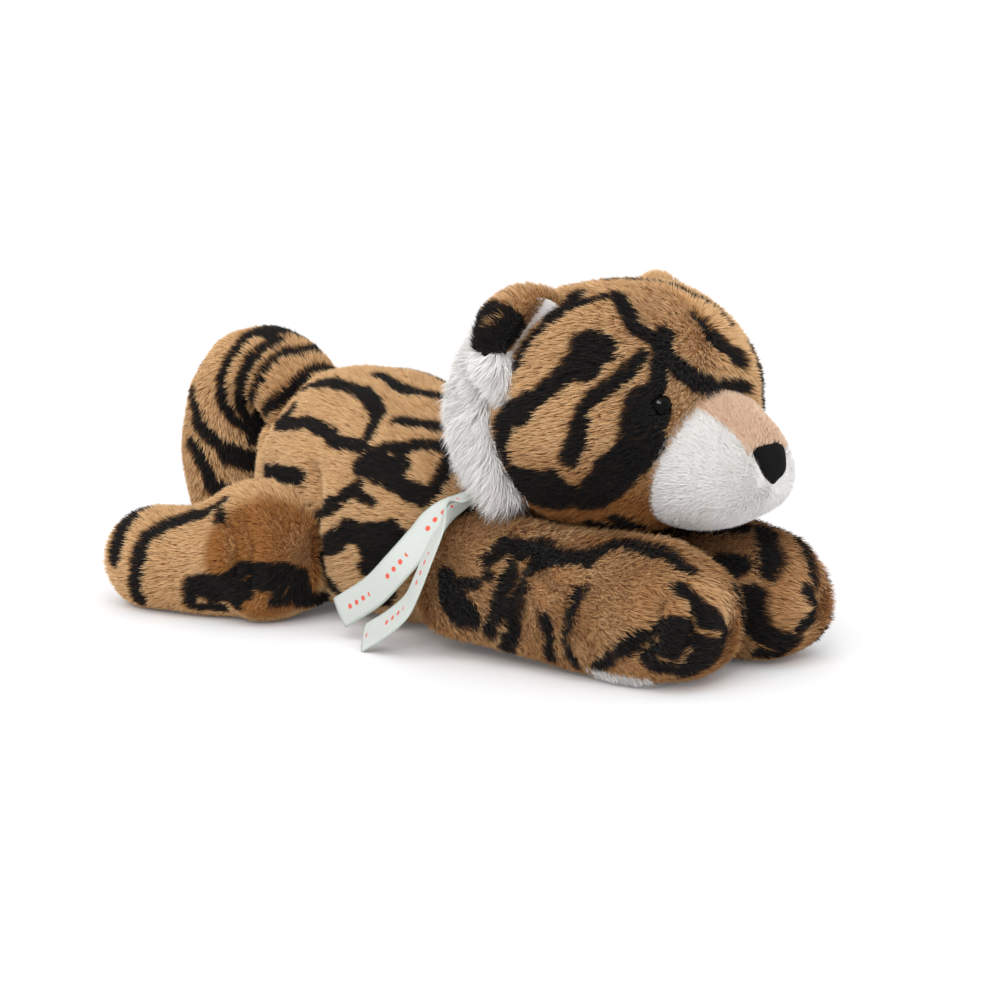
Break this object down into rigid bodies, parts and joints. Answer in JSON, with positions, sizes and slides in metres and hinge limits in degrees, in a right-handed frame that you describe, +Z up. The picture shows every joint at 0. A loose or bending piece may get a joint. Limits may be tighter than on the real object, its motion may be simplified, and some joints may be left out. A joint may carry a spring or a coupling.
{
  "type": "plush tiger",
  "caption": "Stuffed plush tiger lying on its belly with its head up, a curled tail, a ruff behind each cheek and a satin ribbon tied round its neck.",
  "frame": {"origin": "middle of the flat on which the belly rests, on the floor", "axes": "+X towards the head, +Y towards the tiger's left side, +Z up"},
  "size_m": [0.3692, 0.1938, 0.1713],
  "materials": {
    "tan_plush": "long tan pile with black stripes",
    "white_plush": "long white pile",
    "peach_plush": "short peach pile",
    "black_velvet": "short black velvet",
    "fibre_fill": "loose polyester fibre",
    "pellet_cloth": "plain woven pouch of pellets",
    "mint_satin": "pale mint satin ribbon",
    "black_gloss": "polished black",
    "white_plastic": "plain moulded"
  },
  "bodies": {
    "torso": {"belly_panel": "white_plush", "body_filling": "fibre_fill", "body_skin": "tan_plush", "pellet_pouch": "pellet_cloth", "ribbon_collar": "mint_satin", "ribbon_knot": "mint_satin", "ribbon_tail_narrow": "mint_satin", "ribbon_tail_wide": "mint_satin"},
    "neck": {"neck_skin": "tan_plush", "neck_filling": "fibre_fill"},
    "head": {"eye_left": "black_gloss", "eye_right": "black_gloss", "eye_washer_left": "white_plastic", "eye_washer_right": "white_plastic", "head_filling": "fibre_fill", "head_skin": "tan_plush", "muzzle_filling": "fibre_fill", "muzzle_skin": "white_plush", "nose": "black_velvet", "nose_bridge": "peach_plush", "ruff_left": "white_plush", "ruff_right": "white_plush"},
    "ear_right": {"ear_right": "tan_plush", "ear_lining_right": "white_plush"},
    "ear_left": {"ear_left": "tan_plush", "ear_lining_left": "white_plush"},
    "arm_right": {"arm_filling_right": "fibre_fill", "arm_skin_right": "tan_plush", "arm_sole_right": "white_plush"},
    "arm_left": {"arm_filling_left": "fibre_fill", "arm_skin_left": "tan_plush", "arm_sole_left": "white_plush"},
    "leg_right": {"leg_filling_right": "fibre_fill", "leg_skin_right": "tan_plush"},
    "leg_left": {"leg_filling_left": "fibre_fill", "leg_skin_left": "tan_plush"},
    "tail": {"tail_skin": "tan_plush", "tail_filling": "fibre_fill"}
  },
  "joints": [
    {"name": "head_turn", "type": "hinge", "parent": "torso", "child": "neck", "pos_m": [0.0765, 0, 0.079], "axis": [0, 0, 1], "range_deg": [-12, 12]},
    {"name": "head_nod", "type": "hinge", "parent": "neck", "child": "head", "pos_m": [0.0765, 0, 0.079], "axis": [0, -1, 0], "range_deg": [0, 15]},
    {"name": "arm_splay_right", "type": "hinge", "parent": "torso", "child": "arm_right", "pos_m": [0.07, -0.044, 0.034], "axis": [0, 0, -1], "range_deg": [0, 40]},
    {"name": "arm_splay_left", "type": "hinge", "parent": "torso", "child": "arm_left", "pos_m": [0.07, 0.044, 0.034], "axis": [0, 0, 1], "range_deg": [0, 40]},
    {"name": "leg_splay_right", "type": "hinge", "parent": "torso", "child": "leg_right", "pos_m": [-0.058, -0.055, 0.033], "axis": [0, 0, 1], "range_deg": [0, 40]},
    {"name": "leg_splay_left", "type": "hinge", "parent": "torso", "child": "leg_left", "pos_m": [-0.058, 0.055, 0.033], "axis": [0, 0, -1], "range_deg": [0, 40]},
    {"name": "tail_lift", "type": "hinge", "parent": "torso", "child": "tail", "pos_m": [-0.08, 0, 0.093], "axis": [0, 1, 0], "range_deg": [0, 30]},
    {"name": "ear_flop_right", "type": "hinge", "parent": "head", "child": "ear_right", "pos_m": [0.10044, -0.04534, 0.1435], "axis": [0.1937, 0.5724, 0.7967], "range_deg": [-6, 6], "stiffness_Nm_per_rad": 0.08},
    {"name": "ear_flop_left", "type": "hinge", "parent": "head", "child": "ear_left", "pos_m": [0.10358, 0.0446, 0.1435], "axis": [-0.148, 0.7375, -0.659], "range_deg": [-6, 6], "stiffness_Nm_per_rad": 0.08}
  ]
}
